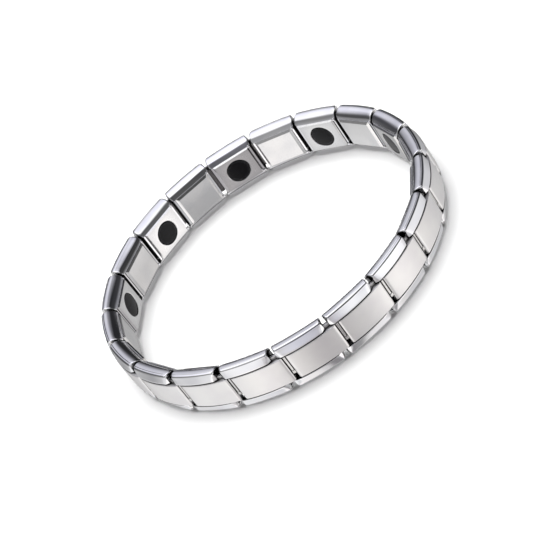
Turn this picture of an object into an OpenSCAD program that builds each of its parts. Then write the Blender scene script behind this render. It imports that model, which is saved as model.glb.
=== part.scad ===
// Magnetic bracelet: a closed loop of rigid, box-shaped steel links lying on its side.
// Each link is one bent sheet with two rounded hollow sides, a floor towards the wrist and two
// lips that hold a brushed face plate. Every second link carries a round black magnet in its
// inner plate. A hooked connector spans each gap and interlocks with the floors on both sides.
// Frame: +Z is the axis of the loop, the origin is the middle of the underside it rests on.
// In a link's own frame X points outwards from its ridge, Y runs along the loop and Z across it.

/* [Bracelet] */
// Number of links in the closed loop, every second one with a magnet
link_count = 20; // [16:2:24]
// Distance from link to link along the outer ridges
link_pitch = 10; // [9.6:0.1:12]
// Overall width across both rounded sides
band_w = 8.8; // [8.4:0.1:11]

/* [Link shell] */
// Thickness of the bent steel sheet
sheet_t = 0.35; // [0.3:0.01:0.45]
// Gap between the floors of two neighbouring links
floor_gap = 0.3; // [0.2:0.05:0.6]
// Depth of the floor, measured inwards from the outer ridge to its skin side
floor_depth = 2.55; // [2.5:0.05:3]
// Bending radius of the rounded side
side_r = 1.8; // [1.7:0.05:2.2]
// Depth of the rounded side, measured inwards from the outer ridge
side_depth = 2.15; // [1.9:0.05:2.3]
// How far inwards of the ridge the side is at its highest
crown_in = 0.55; // [0.4:0.05:0.8]
// Height of the lens-shaped hollow below the chord of the side
tube_drop = 0.12; // [0.05:0.01:0.2]
// Thickness of the flat wall that closes the hollow side
tube_wall = 0.25; // [0.2:0.01:0.3]
// Drop of the bevel between the rounded side and the floor
bevel_drop = 0.2; // [0.1:0.05:0.3]
// Height of each lip over the face plate
lip_h = 1.6; // [1.3:0.05:1.8]
// How much further out than the ridge the edge of a lip stands
lip_rise = 0.6; // [0.4:0.05:0.7]
// Size of the cut-off corner at each end of a lip
lip_corner = 0.3; // [0.1:0.05:0.4]

/* [Face plate] */
// Gap between two neighbouring face plates
face_gap = 0.95; // [0.9:0.05:1.2]
// How far a face plate is slid along the loop from the middle of its link
face_shift = 1.5; // [1.2:0.05:1.8]
// How much the middle of a face plate stands out over the lips
face_proud = 0.15; // [0.1:0.05:0.3]
// Curvature radius of the domed face
face_curve_r = 24; // [22:1:30]
// Thickness of a face plate with the flanges below the lips
face_t = 1.15; // [1.1:0.01:1.2]
// Gap between a face plate and the edge of a lip
face_side_gap = 0.07; // [0.05:0.01:0.1]
// Width of the flange that reaches below a lip
flange_w = 0.5; // [0.3:0.05:0.6]
// Size of the cut-off long edge at each end of a face plate
face_corner = 0.25; // [0.1:0.05:0.35]

/* [Inner plate and magnet] */
// Thickness of an inner plate
inner_t = 0.4; // [0.3:0.05:0.5]
// Distance from the end of a shell to the end of its inner plate
inner_setback = 0.65; // [0.5:0.05:1]
// Width of the bevelled border of an inner plate with a magnet
inner_bevel = 0.2; // [0.1:0.05:0.3]
// Width of the bevelled border round the raised panel of a plain inner plate
panel_bevel = 0.45; // [0.3:0.05:0.6]
// Diameter of a magnet
magnet_d = 4.1; // [3.5:0.1:4.6]
// Thickness of a magnet
magnet_t = 1.3; // [1:0.05:1.5]
// How far a magnet stands out of its plate
magnet_proud = 0.06; // [0.02:0.01:0.1]
// Width of the worn edge round a magnet
magnet_edge = 0.15; // [0.1:0.01:0.2]

/* [Connector] */
// Thickness of the connector strip
strip_t = 0.3; // [0.2:0.01:0.35]
// Width of the bar that shows between two face plates
bar_w = 0.4; // [0.3:0.05:0.45]
// Length of that bar, measured from the upper lips
bar_len = 3.7; // [3:0.1:4.5]
// How far the bar ends below the domed faces
bar_sink = 0.35; // [0.2:0.05:0.5]
// Diameter of the riveted staple ends at the corners of a link
stud_d = 0.75; // [0.6:0.05:0.9]

/* [Clearances] */
// Small gap between flat pieces that lie on each other
lay_gap = 0.05; // [0.03:0.01:0.1]
// Running clearance round the hooked connectors
hook_gap = 0.12; // [0.1:0.01:0.15]

/* [Hidden] */
link_step = 360 / link_count;
half_step = link_step / 2;
half_w = band_w / 2;
arc_steps = 5;
round_fn = 48;
dome_fn = 96;
cut = 1;

// Radius of the outer ridges at the middle of a link
ridge_r = link_pitch / 2 / tan(half_step);
shell_len = 2 * (ridge_r - floor_depth) * tan(half_step) - floor_gap;
half_len = shell_len / 2;

// Rounded side of the shell, as an arc in the cross-section
side_centre = [-crown_in, half_w - side_r];
ridge_a = acos(crown_in / side_r);
edge_a = 180 - acos((side_depth - crown_in) / side_r);
mid_a = (ridge_a + edge_a) / 2;
chord_dist = side_r * cos((edge_a - ridge_a) / 2);
ridge_pt = side_centre + side_r * [cos(ridge_a), sin(ridge_a)];
edge_pt = side_centre + side_r * [cos(edge_a), sin(edge_a)];
lip_pt = [lip_rise, ridge_pt.y - lip_h];
bevel_pt = [-floor_depth, edge_pt.y - bevel_drop];

// Flat wall below the hollow side, and the inner faces of floor and lip
chord_dir = (ridge_pt - edge_pt) / norm(ridge_pt - edge_pt);
wall_pt = edge_pt + (tube_drop + tube_wall) * [chord_dir.y, -chord_dir.x];
lip_dir = (lip_pt - ridge_pt) / norm(lip_pt - ridge_pt);
lip_in = ridge_pt + sheet_t * [lip_dir.y, -lip_dir.x];
floor_in = -floor_depth + sheet_t;
floor_corner = meet(wall_pt, chord_dir, [floor_in, 0], [0, 1]);
lip_corner_in = meet(wall_pt, chord_dir, lip_in, lip_dir);
lip_edge_in = meet(lip_in, lip_dir, [0, lip_pt.y], [1, 0]);

// Lens-shaped hollow of the side
hollow_r = side_r - tube_wall;
hollow_a = acos((chord_dist - tube_drop) / hollow_r);

// Face plate
face_r = ridge_r + lip_rise + face_proud;
face_len = 2 * face_r * tan(half_step) - face_gap;
face_turn = asin(face_shift / face_r);
face_half_w = lip_pt.y - face_side_gap;
flange_half_w = face_half_w + flange_w;
lip_slope = lip_rise / lip_h;
flange_top = lip_edge_in.x - lip_slope * (flange_half_w - lip_pt.y) - lay_gap;
flange_drop = face_r - ridge_r - flange_top;
// Lowest radius of the underside of a face plate, at its ends
under_curve = face_curve_r - face_t;
under_x = face_r - face_curve_r + sqrt(under_curve * under_curve - face_len * face_len / 4);
under_r = norm([under_x, face_len / 2]);

// Inner plate and magnet
inner_x = -floor_depth - lay_gap;
inner_len = shell_len - 2 * inner_setback;
inner_half_w = bevel_pt.y - lay_gap;
magnet_x = inner_x - inner_t - magnet_proud;

// Connector, in the frame of the link that it hooks into
upstand_t = sheet_t;
upstand_half_w = floor_corner.y - 2 * hook_gap;
hook_half_w = floor_corner.y - hook_gap;
strip_x = under_r * cos(half_step) - hook_gap - strip_t - ridge_r;
upstand_h = strip_x - hook_gap - floor_in;
strip_end = (ridge_r + strip_x + strip_t) * tan(half_step);
hook_y = half_len - upstand_t - hook_gap;
bar_reach = face_shift + bar_w;
bar_top = face_half_w - hook_gap;
stud_y = inner_setback;

steel = [0.85, 0.85, 0.87];
satin = [0.74, 0.73, 0.73];
black = [0.06, 0.06, 0.07];

function two(i) = i < 10 ? str("0", i) : str(i);
function link_angle(i) = (i - 0.5) * link_step;
function has_magnet(i) = i % 2 == 1;
function arc(c, r, a, b, n) = [for (k = [0:n]) c + r * [cos(a + (b - a) * k / n), sin(a + (b - a) * k / n)]];
function flip(pts) = [for (k = [len(pts) - 1:-1:0]) [pts[k].x, -pts[k].y]];
// Point where the line through p along u meets the line through q along v
function meet(p, u, q, v) = p + u * ((q.x - p.x) * v.y - (q.y - p.y) * v.x) / (u.x * v.y - u.y * v.x);

// Puts a child from a link's own frame into the loop
module at_link(i, turn = 0) {
    rotate([0, 0, link_angle(i) + turn])
        translate([ridge_r, 0, half_w])
            children();
}

// Extrudes a cross-section along the loop
module along(length) {
    rotate([90, 0, 0])
        linear_extrude(height = length, center = true)
            children();
}

module shell_section() {
    outer = concat(
        [lip_pt],
        arc(side_centre, side_r, ridge_a, 90, 2),
        arc(side_centre, side_r, 90 + (edge_a - 90) / arc_steps, edge_a, arc_steps - 1),
        [bevel_pt]
    );
    inner = [floor_corner, lip_corner_in, lip_edge_in];
    hollow = arc(side_centre, hollow_r, mid_a - hollow_a, mid_a + hollow_a, arc_steps + 1);
    difference() {
        polygon(concat(outer, flip(outer), [for (k = [2:-1:0]) [inner[k].x, -inner[k].y]], inner));
        polygon(hollow);
        polygon(flip(hollow));
    }
}

module lip_corners() {
    for (s = [-1, 1])
        translate([lip_rise, s * half_len, 0])
            rotate([0, 0, 45])
                cube([lip_corner * sqrt(2), lip_corner * sqrt(2), band_w + cut], center = true);
}

module upstands() {
    for (s = [-1, 1])
        translate([floor_in + upstand_h / 2 - sheet_t / 2, s * (half_len - upstand_t / 2), 0])
            cube([upstand_h + sheet_t, upstand_t, 2 * upstand_half_w], center = true);
}

// Riveted ends of the staple that closes the sheet, at the two corners of one end
module studs(extra = 0) {
    for (s = [-1, 1])
        translate([-floor_depth, stud_y - half_len, s * bevel_pt.y])
            sphere(d = stud_d + 2 * extra, $fn = round_fn);
}

module magnet_hole(extra) {
    translate([-floor_depth, 0, 0])
        rotate([0, 90, 0])
            cylinder(d = magnet_d + 2 * extra, h = 4 * sheet_t + 2 * inner_t, center = true, $fn = round_fn);
}

module link_shell(i) {
    color(steel)
        at_link(i)
            difference() {
                union() {
                    along(shell_len) shell_section();
                    upstands();
                    studs();
                }
                lip_corners();
                if (has_magnet(i)) magnet_hole(hook_gap);
            }
}

// Plan of the domed plate between two depths below its face, cut to its length
module face_plan(top, bottom) {
    translate([-face_curve_r, 0])
        intersection() {
            difference() {
                circle(r = face_curve_r - top, $fn = dome_fn);
                circle(r = face_curve_r - bottom, $fn = dome_fn);
            }
            face_ends();
        }
}

// Outline of the ends, which lean so that the gap to the next plate keeps its width
module face_ends() {
    half = face_len / 2;
    end_x = sqrt(face_curve_r * face_curve_r - half * half);
    deep_x = face_curve_r / 2;
    deep_half = half - (end_x - face_corner - deep_x) * tan(half_step);
    polygon([
        [deep_x, -deep_half], [end_x - face_corner, -half], [end_x + face_corner, face_corner * 2 - half],
        [face_curve_r + cut, 0],
        [end_x + face_corner, half - face_corner * 2], [end_x - face_corner, half], [deep_x, deep_half]
    ]);
}

module face_plate(i) {
    color(satin)
        rotate([0, 0, link_angle(i) + face_turn])
            translate([face_r, 0, half_w]) {
                linear_extrude(height = 2 * face_half_w, center = true)
                    face_plan(0, face_t);
                linear_extrude(height = 2 * flange_half_w, center = true)
                    face_plan(flange_drop, face_t);
            }
}

module inner_plate(i, border) {
    base = inner_half_w;
    half = inner_len / 2;
    at_link(i)
        difference() {
            intersection() {
                along(inner_len)
                    polygon([[inner_x, -base], [inner_x - inner_t, border - base],
                             [inner_x - inner_t, base - border], [inner_x, base]]);
                linear_extrude(height = band_w, center = true)
                    polygon([[inner_x, -half], [inner_x - inner_t, border - half],
                             [inner_x - inner_t, half - border], [inner_x, half]]);
            }
            studs(hook_gap);
            if (has_magnet(i)) magnet_hole(lay_gap);
        }
}

module plain_inner_plates() {
    color(satin)
        for (i = [2:2:link_count]) inner_plate(i, panel_bevel);
}

module magnet_inner_plates() {
    color(satin)
        for (i = [1:2:link_count]) inner_plate(i, inner_bevel);
}

module magnet(i) {
    r = magnet_d / 2;
    color(black)
        at_link(i)
            translate([magnet_x, 0, 0])
                rotate([0, 90, 0])
                    rotate_extrude($fn = round_fn)
                        polygon([[0, 0], [r - magnet_edge, 0], [r, magnet_edge / 2],
                                 [r, magnet_t], [0, magnet_t]]);
}

// Half of a connector, hooked behind the turned-up end of one floor, with its strip cut to a length
module connector_half(reach) {
    translate([strip_x, strip_end - reach, -hook_half_w])
        cube([strip_t, reach, 2 * hook_half_w]);
    translate([floor_in + hook_gap, hook_y - strip_t, -hook_half_w])
        cube([strip_x - floor_in, strip_t, 2 * hook_half_w]);
}

// Bar that stands up between two face plates
module connector_bar(i) {
    foot = ridge_r + strip_x + strip_t / 2;
    rotate([0, 0, link_angle(i) - half_step + face_turn])
        translate([foot, -bar_w / 2, half_w + bar_top - bar_len])
            cube([face_r - bar_sink - foot, bar_w, bar_len]);
}

module connector(i) {
    at_link(i) mirror([0, 1, 0]) connector_half(bar_reach);
    at_link(i, -link_step) connector_half(strip_end - hook_y + strip_t);
    connector_bar(i);
}

module connectors() {
    color(steel)
        for (i = [1:link_count]) connector(i);
}

for (i = [1:link_count]) link_shell(i);
for (i = [1:link_count]) face_plate(i);
for (i = [1:link_count / 2]) magnet(2 * i - 1);
plain_inner_plates();
magnet_inner_plates();
connectors();
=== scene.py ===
"""Looks of a magnetic steel bracelet that lies on its side on a pale table.

Sizes in the classes are millimetres and the meshes are made in metres, in the shared frame.
A link's own frame has X outwards from its ridge, Y along the loop and Z across the band.
"""

import logging
import math
from dataclasses import dataclass, field, replace
from enum import Enum
from typing import Callable, Sequence

import bmesh
import bpy
from mathutils import Matrix, Vector
from mathutils.geometry import tessellate_polygon


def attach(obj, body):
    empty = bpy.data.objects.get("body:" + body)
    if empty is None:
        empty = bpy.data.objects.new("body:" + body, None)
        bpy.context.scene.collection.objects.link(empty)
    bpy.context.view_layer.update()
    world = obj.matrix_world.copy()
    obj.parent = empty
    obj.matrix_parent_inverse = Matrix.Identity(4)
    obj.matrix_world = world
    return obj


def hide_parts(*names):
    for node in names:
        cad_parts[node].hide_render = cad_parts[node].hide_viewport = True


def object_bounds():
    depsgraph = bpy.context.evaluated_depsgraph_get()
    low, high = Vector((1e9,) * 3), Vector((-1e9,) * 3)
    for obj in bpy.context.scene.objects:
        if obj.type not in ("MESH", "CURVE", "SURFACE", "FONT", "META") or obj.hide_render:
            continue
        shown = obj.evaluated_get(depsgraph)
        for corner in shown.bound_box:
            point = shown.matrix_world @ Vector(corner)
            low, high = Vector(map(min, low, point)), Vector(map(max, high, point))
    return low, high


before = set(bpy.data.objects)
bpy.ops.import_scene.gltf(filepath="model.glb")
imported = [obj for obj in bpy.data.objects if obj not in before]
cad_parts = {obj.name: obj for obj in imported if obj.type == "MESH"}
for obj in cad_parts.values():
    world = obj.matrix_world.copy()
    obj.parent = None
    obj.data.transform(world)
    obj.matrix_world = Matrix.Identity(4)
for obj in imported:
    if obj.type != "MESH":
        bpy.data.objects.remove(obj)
cad_box = [list(corner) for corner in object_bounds()]

LOG = logging.getLogger("bracelet")
MM = 0.001
PLACE = "place_mm"
WEAR = "wear"
LINK_NO = "link_no"
WEAR_BREAKUP = (0.25, 0.7)
# Span of ambient occlusion over which the painted crevice shade comes in, and its samples.
CREVICE_SHADE_SPAN = (0.3, 0.82)
CREVICE_SHADE_SAMPLES = 8

Point = tuple[float, float]
Colour = tuple[float, float, float]
Socket = bpy.types.NodeSocket
Inputs = dict[str | int, object]
Ring = Sequence[bmesh.types.BMVert]


class Slot(Enum):
    """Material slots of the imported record."""

    POLISHED = "polished_steel"
    FACE = "brushed_face"
    INNER = "satin_inner"
    SPRING = "spring_steel"
    MAGNET = "magnet_black"


def arc(centre: Point, radius: float, start: float, end: float, steps: int) -> list[Point]:
    """Points on a circular arc from a first to a last angle in degrees, steps + 1 of them."""
    turns = [math.radians(start + (end - start) * k / steps) for k in range(steps + 1)]
    return [(centre[0] + radius * math.cos(t), centre[1] + radius * math.sin(t)) for t in turns]


def round_corner(before: Point, corner: Point, after: Point, radius: float, steps: int) -> list[Point]:
    """Points of a fillet in place of a sharp corner.

    Args:
        before: a point on the line that comes in.
        corner: the sharp corner.
        after: a point on the line that goes out.
        radius: radius of the fillet.
        steps: number of chords.

    Returns:
        steps + 1 points from one tangent point to the other.
    """
    c = Vector(corner)
    into = (Vector(before) - c).normalized()
    out = (Vector(after) - c).normalized()
    half_turn = into.angle(out) / 2
    reach = radius / math.tan(half_turn)
    centre = c + (into + out).normalized() * (radius / math.sin(half_turn))
    first = (c + into * reach - centre).normalized()
    last = (c + out * reach - centre).normalized()
    return [tuple(centre + first.slerp(last, k / steps) * radius) for k in range(steps + 1)]


def smooth(value: float) -> float:
    """Eases a share from 0 to 1."""
    t = min(max(value, 0.0), 1.0)
    return t * t * (3 - 2 * t)


def new_object(name: str, data: bpy.types.ID) -> bpy.types.Object:
    """Adds an object to the scene.

    Args:
        name: its name.
        data: its mesh or camera.

    Returns:
        The new object.
    """
    obj = bpy.data.objects.new(name, data)
    bpy.context.scene.collection.objects.link(obj)
    return obj


@dataclass(frozen=True)
class Loop:
    """The closed loop that all links share.

    Args:
        link_count: number of links.
        half_width: half the width of the band.
        link_pitch: distance from link to link along the outer ridges.
    """

    link_count: int
    half_width: float
    link_pitch: float = 10.0

    @property
    def step(self) -> float:
        """Angle from link to link in radians."""
        return math.tau / self.link_count

    @property
    def ridge_radius(self) -> float:
        """Radius of the ridges at the middle of a link."""
        return self.link_pitch / 2 / math.tan(self.step / 2)


@dataclass(frozen=True)
class SectionPoint:
    """A point of a cross-section and what becomes of it towards the ends of a link.

    Args:
        x: place outwards from the ridge.
        z: place across the band.
        bow: share of the gentle bow that the link has along its length.
        dome: share of the extra doming at the lips.
        zone: length of the stretch at each end that is rounded or folded in.
        fall: how far the point moves, in X and Z, by the very end.
        back: how far short of the end the point stays.
        flat: 0 for a rounded end, 1 for a straight facet.
        wear: 0 for an even surface, 1 for a worn edge.
    """

    x: float
    z: float
    bow: float = 0.0
    dome: float = 0.0
    zone: float = 0.06
    fall: Point = (0.0, 0.0)
    back: float = 0.0
    flat: float = 0.0
    wear: float = 0.0

    def mirrored(self) -> "SectionPoint":
        """The same point on the other half of the band."""
        return replace(self, z=-self.z, fall=(self.fall[0], -self.fall[1]))


def whole_ring(half: list[SectionPoint]) -> list[SectionPoint]:
    """Closes half a section with its mirror image."""
    return half + [p.mirrored() for p in reversed(half[1:-1])]


@dataclass
class MeshMaker:
    """Collects faces with the two attributes that the finishes read, then makes a mesh."""

    name: str
    bm: bmesh.types.BMesh = field(default_factory=bmesh.new)

    def __post_init__(self) -> None:
        """Adds the attribute layers."""
        self.place = self.bm.verts.layers.float_vector.new(PLACE)
        self.wear = self.bm.verts.layers.float.new(WEAR)

    def vert(self, x: float, y: float, z: float, wear: float = 0.0) -> bmesh.types.BMVert:
        """Adds a vertex.

        Args:
            x: place outwards, in millimetres.
            y: place along the loop.
            z: place across the band.
            wear: share of edge wear.

        Returns:
            The new vertex.
        """
        v = self.bm.verts.new((x * MM, y * MM, z * MM))
        v[self.place] = (x, y, z)
        v[self.wear] = wear
        return v

    def skin(self, rings: Sequence[Ring]) -> None:
        """Joins rings of vertices with quads.

        Args:
            rings: rings of equal length.
        """
        for a, b in zip(rings, rings[1:]):
            for k in range(len(a)):
                n = (k + 1) % len(a)
                self.bm.faces.new((a[k], a[n], b[n], b[k]))

    def closed_skin(self, rings: Sequence[Ring]) -> None:
        """Joins rings with quads and closes both ends with a face.

        Args:
            rings: rings of equal length.
        """
        self.skin(rings)
        for ring in (rings[0], rings[-1]):
            self.bm.faces.new(ring)

    def cap(self, rings: Sequence[Ring], flat: Sequence[Sequence[Point]]) -> None:
        """Closes an end between an outer ring and its holes.

        Args:
            rings: the outer ring and then its holes.
            flat: the same rings as plane points, for the triangulation.
        """
        verts = [v for ring in rings for v in ring]
        loops = [[Vector((p[0], p[1], 0)) for p in ring] for ring in flat]
        for face in tessellate_polygon(loops):
            if len(set(face)) == 3:
                self.bm.faces.new([verts[k] for k in face])

    def lathe(self, profile: Sequence[tuple[float, float, float]], at: float, sides: int) -> None:
        """Turns a profile round the X axis and closes both ends.

        Args:
            profile: rows of x, radius and wear.
            at: where x begins.
            sides: number of facets round the axis.
        """
        turns = [math.tau * k / sides for k in range(sides)]
        self.closed_skin([
            [self.vert(at + x, r * math.cos(t), r * math.sin(t), wear) for t in turns]
            for x, r, wear in profile
        ])

    def mesh(self, sharp_deg: float = 30.0) -> bpy.types.Mesh:
        """Finishes the mesh.

        Args:
            sharp_deg: edges that turn by more than this stay sharp.

        Returns:
            The mesh, smooth shaded, with its normals outwards.
        """
        bmesh.ops.recalc_face_normals(self.bm, faces=self.bm.faces)
        result = bpy.data.meshes.new(self.name)
        self.bm.to_mesh(result)
        self.bm.free()
        for polygon in result.polygons:
            polygon.use_smooth = True
        result.set_sharp_from_angle(angle=math.radians(sharp_deg))
        return result


@dataclass
class Sweep:
    """A closed cross-section that runs along a link, with worked ends.

    Args:
        half_length: half the length of the piece.
        contour: the outer ring of the section.
        holes: rings of the hollows that run through it.
        bow: gives the bow and the doming in X for a place along the link.
        main_steps: number of stretches between the worked ends.
        end_steps: number of stretches in each worked end.
    """

    half_length: float
    contour: list[SectionPoint]
    holes: list[list[SectionPoint]] = field(default_factory=list)
    bow: Callable[[float], Point] = lambda y: (0.0, 0.0)
    main_steps: int = 12
    end_steps: int = 5

    def station(self, p: SectionPoint, share: float, into_end: float) -> tuple[float, float, float, float]:
        """Where a section point is at one station.

        Args:
            p: the section point.
            share: place along the main stretch, from -1 to 1.
            into_end: place in the worked end, from 0 to 1.

        Returns:
            x, y, z and the wear there.
        """
        turn = into_end * math.pi / 2
        along = (1 - p.flat) * math.sin(turn) + p.flat * into_end
        sunk = (1 - p.flat) * (1 - math.cos(turn)) + p.flat * into_end
        body = self.half_length - p.back - p.zone
        y = share * body + math.copysign(p.zone * along, share) * (into_end > 0)
        bowed, domed = self.bow(y)
        x = p.x + p.bow * bowed + p.dome * domed + p.fall[0] * sunk
        return x, y, p.z + p.fall[1] * sunk, max(p.wear, smooth(into_end))

    def stations(self) -> list[Point]:
        """All stations from one end to the other, as share and depth into the end.

        Returns:
            The two shares of each station.
        """
        ends = [k / self.end_steps for k in range(self.end_steps, 0, -1)]
        main = [(2 * k / self.main_steps - 1, 0.0) for k in range(self.main_steps + 1)]
        return [(-1.0, e) for e in ends] + main + [(1.0, e) for e in reversed(ends)]

    def build(self, maker: MeshMaker) -> None:
        """Adds the piece to a mesh.

        Args:
            maker: the mesh to add it to.
        """
        sections = [self.contour, *self.holes]
        tubes = [
            [[maker.vert(*self.station(p, *s)) for p in section] for s in self.stations()]
            for section in sections
        ]
        for tube in tubes:
            maker.skin(tube)
        flat = [[(p.x, p.z) for p in section] for section in sections]
        for end in (0, -1):
            maker.cap([tube[end] for tube in tubes], flat)


@dataclass(frozen=True)
class Noise:
    """Noise on a link's own coordinates, different on each link.

    Args:
        scale: scale of the noise for each millimetre.
        detail: octaves of the noise.
        stretch: factors along X, Y and Z.
        low: the value that becomes 0 where the noise is made into patches.
        high: the value that becomes 1 there.
    """

    scale: float
    detail: float
    stretch: Colour = (1.0, 1.0, 1.0)
    low: float = 0.0
    high: float = 1.0


@dataclass
class NodeBoard:
    """Short ways to add and join nodes."""

    tree: bpy.types.NodeTree

    def feed(self, node: bpy.types.Node, inputs: Inputs) -> None:
        """Sets a node's inputs.

        Args:
            node: the node.
            inputs: values or sockets for its inputs, by name or number.
        """
        for key, value in inputs.items():
            if isinstance(value, Socket):
                self.tree.links.new(value, node.inputs[key])
            else:
                node.inputs[key].default_value = value

    def add(self, kind: str, inputs: Inputs | None = None, **settings: object) -> bpy.types.Node:
        """Adds a node.

        Args:
            kind: the node's type name.
            inputs: values or sockets for its inputs, by name or number.
            settings: the node's own properties.

        Returns:
            The new node.
        """
        node = self.tree.nodes.new(kind)
        for name, value in settings.items():
            setattr(node, name, value)
        self.feed(node, inputs or {})
        return node

    def math(self, operation: str, *values: object, clamp: bool = False) -> Socket:
        """The result of a Math node on values or sockets."""
        node = self.add("ShaderNodeMath", dict(enumerate(values)), operation=operation, use_clamp=clamp)
        return node.outputs[0]

    def vector(self, operation: str, *values: object) -> Socket:
        """The result of a Vector Math node on values or sockets."""
        return self.add("ShaderNodeVectorMath", dict(enumerate(values)), operation=operation).outputs[0]

    def ease(self, value: Socket, low: float, high: float) -> Socket:
        """Maps the values from low to high smoothly to 0 to 1."""
        span = {"Value": value, "From Min": low, "From Max": high}
        return self.add("ShaderNodeMapRange", span, interpolation_type="SMOOTHSTEP").outputs["Result"]

    def mix(self, share: Socket, a: Colour | Socket, b: Colour | Socket) -> Socket:
        """Mixes a share of a second colour into a first."""
        a, b = (c if isinstance(c, Socket) else (*c, 1.0) for c in (a, b))
        return self.add("ShaderNodeMix", {0: share, 6: a, 7: b}, data_type="RGBA").outputs[2]

    def ramp(self, value: Socket, stops: Sequence[tuple[float, Colour]]) -> Socket:
        """Adds a colour ramp.

        Args:
            value: where on the ramp.
            stops: places from 0 to 1 and their colours.

        Returns:
            The colour there.
        """
        node = self.add("ShaderNodeValToRGB", {0: value})
        elements = node.color_ramp.elements
        while len(elements) < len(stops):
            elements.new(0.5)
        for element, (place, colour) in zip(elements, stops):
            element.position = place
            element.color = (*colour, 1.0)
        return node.outputs["Color"]

    def attribute(self, name: str, output: str = "Fac") -> Socket:
        """Reads an attribute of the mesh."""
        return self.add("ShaderNodeAttribute", attribute_name=name).outputs[output]

    def grain(self, noise: Noise) -> Socket:
        """Adds a noise.

        Args:
            noise: what it is like.

        Returns:
            Its value from 0 to 1.
        """
        place = self.vector("MULTIPLY", self.attribute(PLACE, "Vector"), noise.stretch)
        where = {"Vector": place, "W": self.attribute(LINK_NO)}
        size = {"Scale": noise.scale, "Detail": noise.detail}
        return self.add("ShaderNodeTexNoise", where | size, noise_dimensions="4D").outputs[0]

    def patches(self, noise: Noise) -> Socket:
        """A noise made into patches with soft edges."""
        return self.ease(self.grain(noise), noise.low, noise.high)

    def edge(self, breakup: Socket) -> Socket:
        """Share of edge wear from the mesh, broken up by noise from 0 to 1."""
        return self.math("MULTIPLY", self.attribute(WEAR), self.ease(breakup, *WEAR_BREAKUP), clamp=True)

    def painted_crevice_shade(self, reach: float) -> Socket:
        """Painted shade: 0 in the open and 1 deep in a crevice, for surfaces within a reach in millimetres.
        """
        nearby = self.add("ShaderNodeAmbientOcclusion", {"Distance": reach * MM}, samples=CREVICE_SHADE_SAMPLES)
        return self.math("SUBTRACT", 1.0, self.ease(nearby.outputs["AO"], *CREVICE_SHADE_SPAN), clamp=True)

    def relief(self, height: Socket, strength: float, depth: float) -> Socket:
        """The normal of a relief whose height of 1 is a depth in millimetres."""
        bump = {"Height": height, "Strength": strength, "Distance": depth * MM}
        return self.add("ShaderNodeBump", bump).outputs["Normal"]


@dataclass(frozen=True)
class Finish:
    """What all finishes share.

    Args:
        name: name of the material.
        base: colour of the even surface.
        worn: colour of the worn edges.
        rough: roughness of the even surface.
    """

    name: str
    base: Colour
    worn: Colour
    rough: float

    def inputs(self, board: NodeBoard) -> dict[str, object]:
        """What the shader's inputs get, by their names."""
        return {"Base Color": (*self.base, 1.0), "Roughness": self.rough, "Specular IOR Level": 0.0}

    def build(self) -> bpy.types.Material:
        """Makes the material.

        Returns:
            The new material.
        """
        material = bpy.data.materials.new(self.name)
        material.use_nodes = True
        board = NodeBoard(material.node_tree)
        board.feed(material.node_tree.nodes["Principled BSDF"], self.inputs(board))
        return material


@dataclass(frozen=True)
class Metal(Finish):
    """A steel finish with grain, scratches, worn edges and painted shade in its crevices.

    Args:
        tint: colour that low, wide noise mixes in.
        rough_spread: how much the grain changes the roughness.
        rough_edge: roughness of the worn edges.
        grain: stretch of the brushing along X, Y and Z.
        grain_depth: strength of the brushing as relief.
        scratch_depth: strength of the scratches as relief.
        painted_shade: colour of the painted shade deep in the crevices and gaps.
        shade_reach: how far off other surfaces still make a crevice for the painted shade, in millimetres.
        cloud: the low, wide noise.
        breakup: the noise that breaks up the worn edges.
        scratches: where the scratches run.
    """

    tint: Colour
    rough_spread: float
    rough_edge: float
    grain: Colour
    grain_depth: float
    scratch_depth: float
    painted_shade: Colour = (0.012, 0.011, 0.013)
    shade_reach: float = 0.8
    cloud: Noise = Noise(0.22, 2.0, low=0.35, high=0.68)
    breakup: Noise = Noise(5.0, 3.0)
    scratches: Noise = Noise(1.7, 6.0, (0.9, 7.0, 1.6), low=0.60, high=0.72)

    def inputs(self, board: NodeBoard) -> dict[str, object]:
        """What the shader's inputs get.

        Args:
            board: the material's board.

        Returns:
            Values and sockets by the inputs' names.
        """
        brushing = board.grain(Noise(1.0, 4.0, self.grain))
        edge = board.edge(board.grain(self.breakup))
        colour = board.mix(edge, board.mix(board.patches(self.cloud), self.base, self.tint), self.worn)
        # Painted shade: the colour darkens to near black where other surfaces are close, in crevices and
        # gaps.
        colour = board.mix(board.painted_crevice_shade(self.shade_reach), colour, self.painted_shade)
        spread = board.math("MULTIPLY", board.math("SUBTRACT", brushing, 0.5), self.rough_spread)
        rough = board.math("ADD", self.rough, spread, clamp=True)
        ridges = board.math("MULTIPLY", brushing, self.grain_depth)
        cuts = board.math("MULTIPLY", board.patches(self.scratches), self.scratch_depth)
        scored = board.math("SUBTRACT", ridges, cuts)
        return {
            "Metallic": 1.0,
            "Base Color": colour,
            "Roughness": board.add("ShaderNodeMix", {0: edge, 2: rough, 3: self.rough_edge}).outputs[0],
            "Normal": board.relief(scored, 1.0, 1.0),
        }


@dataclass(frozen=True)
class BlackCeramic(Finish):
    """Ground and polished black magnet material.

    Args:
        rough_spread: how much the grain adds to the roughness.
        ior: refractive index, which sets the gloss.
        grain: the noise of the ground surface.
    """

    name: str = "magnet_black_polished"
    base: Colour = (0.002, 0.002, 0.004)
    worn: Colour = (0.06, 0.06, 0.065)
    rough: float = 0.14
    rough_spread: float = 0.12
    ior: float = 1.28
    grain: Noise = Noise(3.0, 4.0)

    def inputs(self, board: NodeBoard) -> dict[str, object]:
        """What the shader's inputs get.

        Args:
            board: the material's board.

        Returns:
            Values and sockets by the inputs' names.
        """
        fine = board.grain(self.grain)
        return {
            "IOR": self.ior,
            "Base Color": board.mix(board.edge(fine), self.base, self.worn),
            "Roughness": board.math("ADD", self.rough, board.math("MULTIPLY", fine, self.rough_spread)),
            "Normal": board.relief(fine, 0.25, 0.01),
        }


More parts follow.
